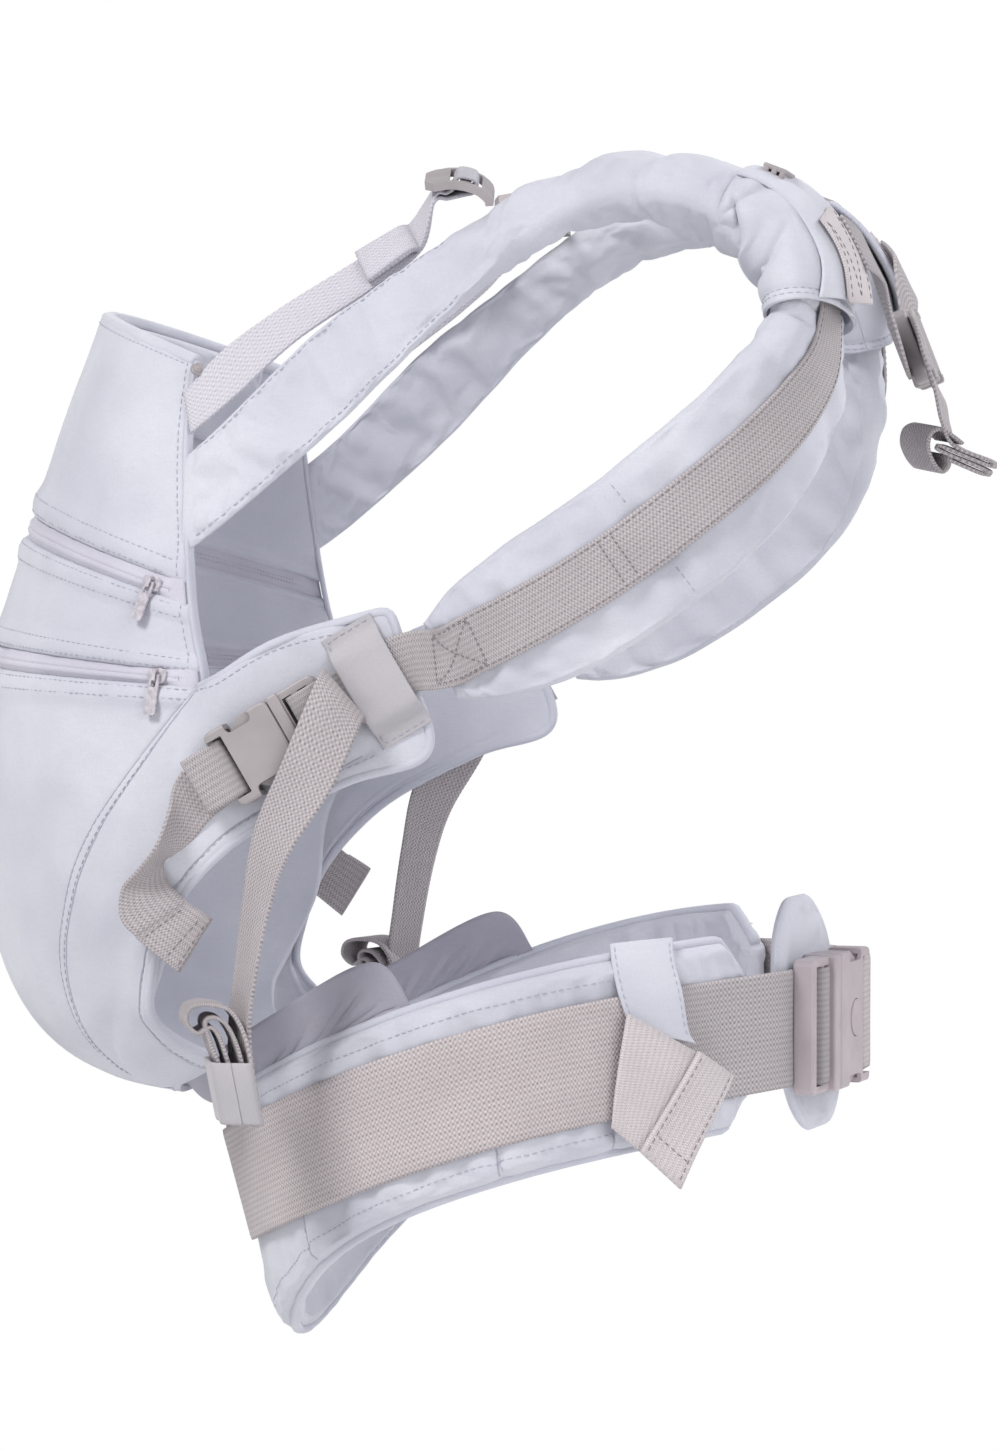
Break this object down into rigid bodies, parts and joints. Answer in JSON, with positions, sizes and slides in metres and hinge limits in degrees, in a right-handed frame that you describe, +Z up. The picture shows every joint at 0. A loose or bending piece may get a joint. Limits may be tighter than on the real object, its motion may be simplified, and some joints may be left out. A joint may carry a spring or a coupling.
{
  "type": "soft baby carrier",
  "caption": "Soft front baby carrier with a padded waist belt, shaped zip-fastened panel, padded shoulder straps and side-release buckles on adjustable webbing.",
  "frame": {"origin": "middle of the waist belt's ring, inside the wearer's waist", "axes": "+Z up; -X the way the wearer faces, where the baby sits; -Y towards the wearer's left side"},
  "size_m": [0.4543, 0.3674, 0.5138],
  "materials": {
    "cloth": "matte plain weave cotton blend",
    "cloth_shade": "matte lining cloth and elastic",
    "webbing": "ribbed polypropylene webbing",
    "moulded": "satin injection-moulded acetal",
    "moulded_dark": "satin injection-moulded acetal",
    "zip_coil": "woven tape with nylon coil",
    "zinc": "painted zinc die casting"
  },
  "bodies": {
    "carrier": {"back_socket": "moulded", "back_webbing_left": "webbing", "back_webbing_right": "webbing", "back_yoke_left": "cloth", "back_yoke_right": "cloth", "extension_panel": "cloth", "head_support": "cloth", "lifter_webbing_left": "webbing", "lifter_webbing_right": "webbing", "lower_zip": "zip_coil", "seat_gusset": "cloth_shade", "seat_panel": "cloth", "shoulder_pad_left": "cloth", "shoulder_pad_right": "cloth", "shoulder_strap_left": "cloth", "shoulder_strap_right": "cloth", "side_plug_left": "moulded", "side_plug_right": "moulded", "side_wing_left": "cloth", "side_wing_right": "cloth", "strap_cuff_left": "cloth", "strap_cuff_right": "cloth", "strap_tail_left": "webbing", "strap_tail_right": "webbing", "strap_webbing_left": "webbing", "strap_webbing_right": "webbing", "upper_panel": "cloth", "upper_zip": "zip_coil", "waist_buckle_flap": "cloth", "waist_pad": "cloth", "waist_socket": "moulded_dark", "waist_tail": "webbing", "waist_tail_keeper": "cloth", "waist_webbing": "webbing", "webbing_sleeve_left": "cloth", "webbing_sleeve_right": "cloth"},
    "left_socket": {"side_socket_left": "moulded", "anchor_webbing_left": "webbing"},
    "right_socket": {"side_socket_right": "moulded", "anchor_webbing_right": "webbing"},
    "left_prong_upper": {"side_prong_left_upper": "moulded"},
    "left_prong_lower": {"side_prong_left_lower": "moulded"},
    "right_prong_upper": {"side_prong_right_upper": "moulded"},
    "right_prong_lower": {"side_prong_right_lower": "moulded"},
    "back_plug": {"back_plug": "moulded", "back_tail": "webbing", "back_tail_band": "cloth_shade"},
    "back_prong_upper": {"back_prong_upper": "moulded"},
    "back_prong_lower": {"back_prong_lower": "moulded"},
    "waist_plug": {"waist_plug": "moulded_dark"},
    "waist_prong_upper": {"waist_prong_upper": "moulded_dark"},
    "waist_prong_lower": {"waist_prong_lower": "moulded_dark"},
    "waist_button": {"waist_button": "moulded_dark"},
    "upper_zip_slider": {"upper_zip_slider": "zinc"},
    "upper_zip_pull": {"upper_zip_pull": "zinc"},
    "lower_zip_slider": {"lower_zip_slider": "zinc"},
    "lower_zip_pull": {"lower_zip_pull": "zinc"},
    "left_lifter_lock": {"lifter_lock_left": "moulded"},
    "right_lifter_lock": {"lifter_lock_right": "moulded"}
  },
  "joints": [
    {"name": "left_buckle_slide", "type": "slide", "parent": "carrier", "child": "left_socket", "axis": [-0.8607, 0, -0.509], "range_m": [0, 0.022], "deforming": ["side_prong_left_upper", "side_prong_left_lower"]},
    {"name": "left_prong_upper_bend", "type": "hinge", "parent": "carrier", "child": "left_prong_upper", "pos_m": [-0.08363, -0.1644, 0.17902], "axis": [0, -1, 0], "range_deg": [0, 9], "stiffness_Nm_per_rad": 1.7},
    {"name": "left_prong_lower_bend", "type": "hinge", "parent": "carrier", "child": "left_prong_lower", "pos_m": [-0.07237, -0.1644, 0.15998], "axis": [0, 1, 0], "range_deg": [0, 9], "stiffness_Nm_per_rad": 1.7},
    {"name": "right_buckle_slide", "type": "slide", "parent": "carrier", "child": "right_socket", "axis": [-0.8607, 0, -0.509], "range_m": [0, 0.022], "deforming": ["side_prong_right_upper", "side_prong_right_lower"]},
    {"name": "right_prong_upper_bend", "type": "hinge", "parent": "carrier", "child": "right_prong_upper", "pos_m": [-0.07237, 0.1644, 0.15998], "axis": [0, 1, 0], "range_deg": [0, 9], "stiffness_Nm_per_rad": 1.7},
    {"name": "right_prong_lower_bend", "type": "hinge", "parent": "carrier", "child": "right_prong_lower", "pos_m": [-0.08363, 0.1644, 0.17902], "axis": [0, -1, 0], "range_deg": [0, 9], "stiffness_Nm_per_rad": 1.7},
    {"name": "back_buckle_slide", "type": "slide", "parent": "carrier", "child": "back_plug", "axis": [0, -1, 0], "range_m": [0, 0.022], "deforming": ["back_webbing_left", "back_prong_upper", "back_prong_lower"]},
    {"name": "back_prong_upper_bend", "type": "hinge", "parent": "back_plug", "child": "back_prong_upper", "pos_m": [0.16999, 0.004, 0.32369], "axis": [0.9326, 0, 0.361], "range_deg": [0, 9], "stiffness_Nm_per_rad": 1.7},
    {"name": "back_prong_lower_bend", "type": "hinge", "parent": "back_plug", "child": "back_prong_lower", "pos_m": [0.16201, 0.004, 0.34431], "axis": [-0.9326, 0, -0.361], "range_deg": [0, 9], "stiffness_Nm_per_rad": 1.7},
    {"name": "waist_buckle_slide", "type": "slide", "parent": "carrier", "child": "waist_plug", "axis": [-0.1772, -0.9842, -0.0015], "range_m": [0, 0.036], "deforming": ["waist_webbing", "waist_prong_upper", "waist_prong_lower"]},
    {"name": "waist_prong_upper_bend", "type": "hinge", "parent": "waist_plug", "child": "waist_prong_upper", "pos_m": [0.13204, -0.03787, 0.01903], "axis": [0.9842, -0.1772, 0], "range_deg": [0, 9], "stiffness_Nm_per_rad": 3.2},
    {"name": "waist_prong_lower_bend", "type": "hinge", "parent": "waist_plug", "child": "waist_prong_lower", "pos_m": [0.13202, -0.03794, 0.06495], "axis": [-0.9842, 0.1772, 0], "range_deg": [0, 9], "stiffness_Nm_per_rad": 3.2},
    {"name": "waist_button_press", "type": "slide", "parent": "carrier", "child": "waist_button", "axis": [-0.9842, 0.1772, 0], "range_m": [0, 0.002], "stiffness_N_per_m": 600},
    {"name": "upper_zip_run", "type": "hinge", "parent": "carrier", "child": "upper_zip_slider", "pos_m": [-0.09211, 0, 0.21516], "axis": [-0.3048, 0, -0.9524], "range_deg": [0, 135]},
    {"name": "upper_zip_pull_swing", "type": "hinge", "parent": "upper_zip_slider", "child": "upper_zip_pull", "pos_m": [-0.14383, -0.13342, 0.23215], "axis": [-0.8818, 0.3778, 0.2822], "range_deg": [0, 150]},
    {"name": "lower_zip_run", "type": "hinge", "parent": "carrier", "child": "lower_zip_slider", "pos_m": [-0.09913, 0, 0.18965], "axis": [-0.0712, 0, -0.9975], "range_deg": [0, 148]},
    {"name": "lower_zip_pull_swing", "type": "hinge", "parent": "lower_zip_slider", "child": "lower_zip_pull", "pos_m": [-0.13933, -0.14317, 0.19309], "axis": [-0.9601, 0.2712, 0.0686], "range_deg": [0, 150]},
    {"name": "left_lifter_tilt", "type": "hinge", "parent": "carrier", "child": "left_lifter_lock", "pos_m": [-0.00627, -0.08705, 0.39487], "axis": [-0.1526, 0.9551, 0.254], "range_deg": [0, 32], "deforming": ["lifter_webbing_left"]},
    {"name": "right_lifter_tilt", "type": "hinge", "parent": "carrier", "child": "right_lifter_lock", "pos_m": [-0.00627, 0.08705, 0.39487], "axis": [0.1526, 0.9551, -0.254], "range_deg": [0, 32], "deforming": ["lifter_webbing_right"]}
  ],
  "couplings": [
    {"joint": "left_prong_lower_bend", "follows": "left_prong_upper_bend", "ratio": 1},
    {"joint": "right_prong_lower_bend", "follows": "right_prong_upper_bend", "ratio": 1},
    {"joint": "back_prong_lower_bend", "follows": "back_prong_upper_bend", "ratio": 1},
    {"joint": "waist_prong_lower_bend", "follows": "waist_prong_upper_bend", "ratio": 1}
  ]
}
